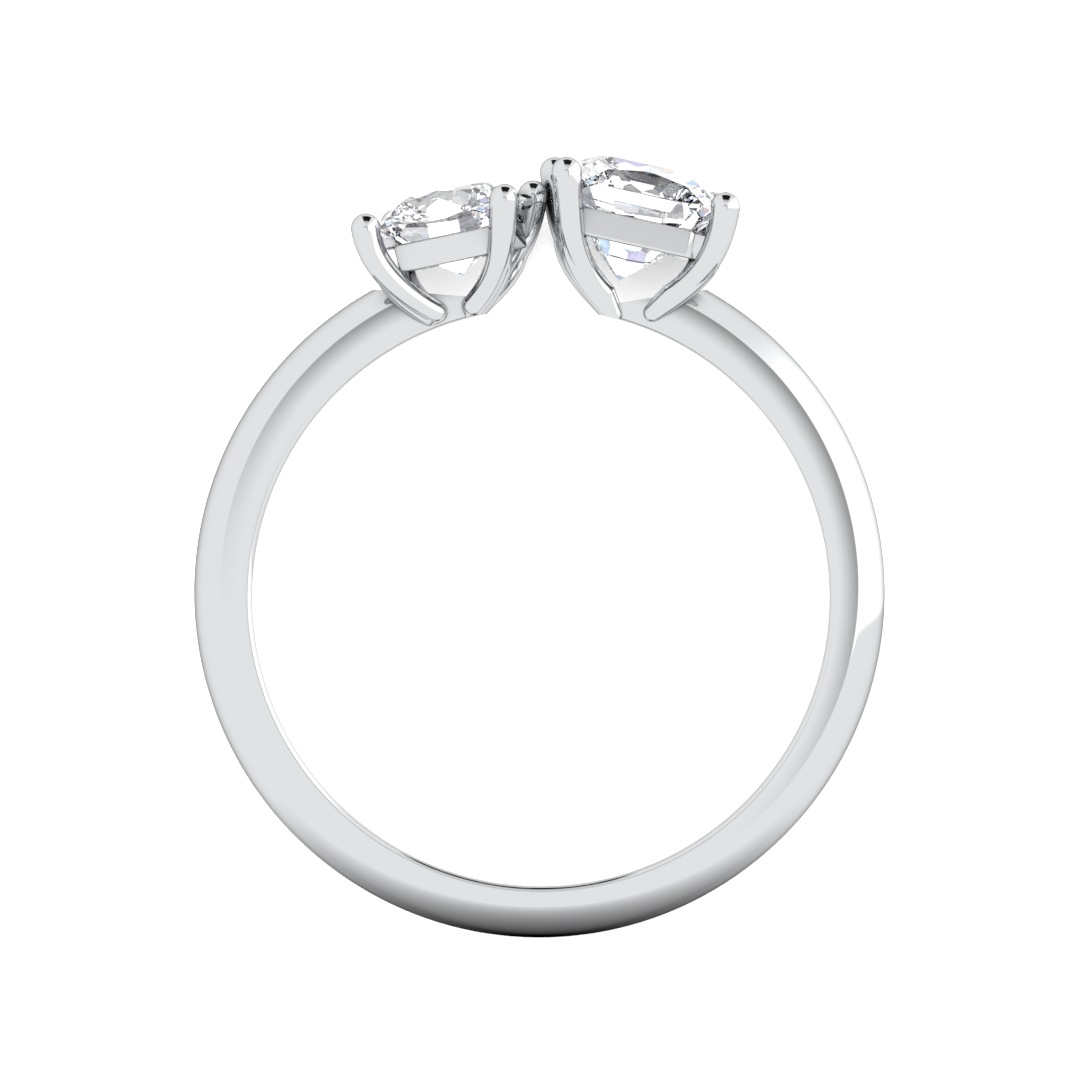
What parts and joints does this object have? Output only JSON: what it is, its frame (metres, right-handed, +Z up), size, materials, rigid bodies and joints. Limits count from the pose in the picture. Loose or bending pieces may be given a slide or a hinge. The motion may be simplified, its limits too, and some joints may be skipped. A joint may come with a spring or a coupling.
{
  "type": "toi et moi ring",
  "caption": "Finger ring with an open shank whose ends carry a cushion-cut and a radiant-cut stone side by side, each in a claw head over a gallery rail.",
  "frame": {"origin": "middle of the finger hole, on its axis and halfway through the shank", "axes": "The ring lies on its side on a table that is level with X and Y. +X runs from the cushion stone's side to the radiant stone's, +Y from the middle of the finger hole towards the two heads, and +Z straight up from the table. The finger hole's axis leans 5.2 degrees from +Z, because the heads are deeper than the shank."},
  "size_m": [0.0197, 0.0225, 0.0059],
  "materials": {
    "white_gold": "mirror-polished white gold",
    "diamond": "polished facets, clear"
  },
  "bodies": {
    "root": {"ring_mount": "white_gold", "cushion_stone": "diamond", "radiant_stone": "diamond"}
  },
  "joints": []
}
